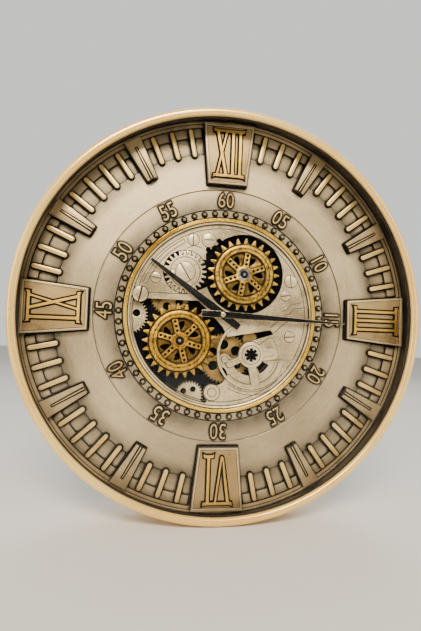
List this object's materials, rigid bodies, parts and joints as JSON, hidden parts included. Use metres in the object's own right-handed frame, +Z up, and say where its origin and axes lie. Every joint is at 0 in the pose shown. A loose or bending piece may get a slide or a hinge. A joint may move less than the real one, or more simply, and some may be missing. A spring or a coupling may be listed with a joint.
{
  "type": "gear wall clock",
  "caption": "Round glazed wall clock with roman hour numerals and gear wheels turning in a cut-out movement plate behind the hands.",
  "frame": {"origin": "centre of the keyhole's neck, in the plane of the wall, where the wall's screw carries the clock", "axes": "+Y into the wall, so the dial faces -Y; +Z up; +X to the right seen from the front"},
  "size_m": [0.6, 0.079, 0.6],
  "materials": {
    "case_wall": "satin champagne paint",
    "back_flange": "satin champagne paint",
    "front_rim": "satin champagne paint on a rounded moulding",
    "glass_pane": "clear flat glass",
    "inner_wall_ring": "dark antique bronze paint",
    "dial_plate": "brushed champagne silver paint, darkened toward the edge",
    "baton_row_1": "antique gold paint on the batons",
    "baton_row_2": "antique gold paint on the batons",
    "baton_row_3": "antique gold paint on the batons",
    "baton_row_4": "antique gold paint on the batons",
    "chapter_ring": "brushed champagne silver paint, darkened toward the edge",
    "numeral_12": "antique gold paint",
    "numeral_3": "antique gold paint",
    "numeral_6": "antique gold paint",
    "numeral_9": "antique gold paint",
    "bead_ring": "champagne silver paint, dark between the beads",
    "gold_bezel": "bright gold paint",
    "movement_plate": "light champagne silver paint",
    "large_screw": "light champagne silver paint",
    "balance_wheel": "light champagne silver paint",
    "silver_wheel": "light champagne silver paint",
    "under_wheel_centre": "dull gold paint",
    "under_wheel_left": "dull gold paint",
    "under_wheel_bottom": "silver paint",
    "under_wheel_side": "silver paint",
    "tray": "matt black",
    "pillar_1": "matt black",
    "pillar_2": "matt black",
    "pillar_3": "matt black",
    "pillar_4": "matt black",
    "upper_gear_wheel": "antique gold paint with dark recesses",
    "upper_gear_straps": "antique gold paint",
    "upper_gear_pin": "turned steel",
    "lower_gear_wheel": "antique gold paint with dark recesses",
    "lower_gear_straps": "antique gold paint",
    "lower_gear_pin": "turned steel",
    "hour_pipe": "turned brass",
    "hour_hand": "black lacquer",
    "minute_arbor": "turned steel",
    "minute_hand": "black lacquer",
    "hand_cap": "pale brass",
    "centre_bush": "turned brass",
    "hex_nut": "turned brass",
    "hands_movement": "black moulded plastic",
    "movement_cell": "printed sleeve, plain blue",
    "setting_knob": "grey moulded plastic",
    "gear_drive_case": "black moulded plastic",
    "switch_slider": "grey moulded plastic",
    "battery_box": "black moulded plastic",
    "drive_cell_1": "printed sleeve, plain blue",
    "drive_cell_2": "printed sleeve, plain blue",
    "battery_lid": "black moulded plastic",
    "back_panel": "black painted fibreboard",
    "spacer_block_1": "black painted fibreboard",
    "spacer_block_2": "black painted fibreboard",
    "spacer_block_3": "black painted fibreboard",
    "spacer_block_4": "black painted fibreboard",
    "wall_hanger": "zinc plated steel",
    "bumper_1": "black rubber",
    "bumper_2": "black rubber"
  },
  "bodies": {
    "body": {"case_wall": "case_wall", "back_flange": "back_flange", "front_rim": "front_rim", "glass_pane": "glass_pane", "inner_wall_ring": "inner_wall_ring", "dial_plate": "dial_plate", "baton_row_1": "baton_row_1", "baton_row_2": "baton_row_2", "baton_row_3": "baton_row_3", "baton_row_4": "baton_row_4", "chapter_ring": "chapter_ring", "numeral_12": "numeral_12", "numeral_3": "numeral_3", "numeral_6": "numeral_6", "numeral_9": "numeral_9", "bead_ring": "bead_ring", "gold_bezel": "gold_bezel", "movement_plate": "movement_plate", "large_screw": "large_screw", "balance_wheel": "balance_wheel", "silver_wheel": "silver_wheel", "under_wheel_centre": "under_wheel_centre", "under_wheel_left": "under_wheel_left", "under_wheel_bottom": "under_wheel_bottom", "under_wheel_side": "under_wheel_side", "tray": "tray", "pillar_1": "pillar_1", "pillar_2": "pillar_2", "pillar_3": "pillar_3", "pillar_4": "pillar_4", "centre_bush": "centre_bush", "hex_nut": "hex_nut", "hands_movement": "hands_movement", "movement_cell": "movement_cell", "gear_drive_case": "gear_drive_case", "battery_box": "battery_box", "drive_cell_1": "drive_cell_1", "drive_cell_2": "drive_cell_2", "back_panel": "back_panel", "spacer_block_1": "spacer_block_1", "spacer_block_2": "spacer_block_2", "spacer_block_3": "spacer_block_3", "spacer_block_4": "spacer_block_4", "wall_hanger": "wall_hanger", "bumper_1": "bumper_1", "bumper_2": "bumper_2"},
    "minute": {"minute_arbor": "minute_arbor", "minute_hand": "minute_hand", "hand_cap": "hand_cap"},
    "hour": {"hour_pipe": "hour_pipe", "hour_hand": "hour_hand"},
    "upper_gear": {"upper_gear_wheel": "upper_gear_wheel", "upper_gear_straps": "upper_gear_straps", "upper_gear_pin": "upper_gear_pin"},
    "lower_gear": {"lower_gear_wheel": "lower_gear_wheel", "lower_gear_straps": "lower_gear_straps", "lower_gear_pin": "lower_gear_pin"},
    "knob": {"setting_knob": "setting_knob"},
    "lid": {"battery_lid": "battery_lid"},
    "switch": {"switch_slider": "switch_slider"}
  },
  "joints": [
    {"name": "minute_hand_turn", "type": "hinge", "parent": "body", "child": "minute", "pos_m": [0, -0.044, -0.248], "axis": [0, 1, 0], "continuous": true},
    {"name": "hour_hand_turn", "type": "hinge", "parent": "body", "child": "hour", "pos_m": [0, -0.041, -0.248], "axis": [0, 1, 0], "continuous": true},
    {"name": "lower_gear_turn", "type": "hinge", "parent": "body", "child": "lower_gear", "pos_m": [-0.0623, -0.031, -0.2894], "axis": [0, 1, 0], "continuous": true},
    {"name": "upper_gear_turn", "type": "hinge", "parent": "body", "child": "upper_gear", "pos_m": [0.033, -0.031, -0.1846], "axis": [0, 1, 0], "continuous": true},
    {"name": "setting_knob_turn", "type": "hinge", "parent": "body", "child": "knob", "pos_m": [0, -0.005, -0.239], "axis": [0, 1, 0], "continuous": true},
    {"name": "battery_lid_slide", "type": "slide", "parent": "body", "child": "lid", "axis": [0, 0, -1], "range_m": [0, 0.012]},
    {"name": "switch_slide", "type": "slide", "parent": "body", "child": "switch", "axis": [1, 0, 0], "range_m": [0, 0.005]}
  ],
  "couplings": [
    {"joint": "hour_hand_turn", "follows": "minute_hand_turn", "ratio": 0.083333},
    {"joint": "setting_knob_turn", "follows": "minute_hand_turn", "ratio": -0.33333},
    {"joint": "upper_gear_turn", "follows": "lower_gear_turn", "ratio": -1}
  ]
}
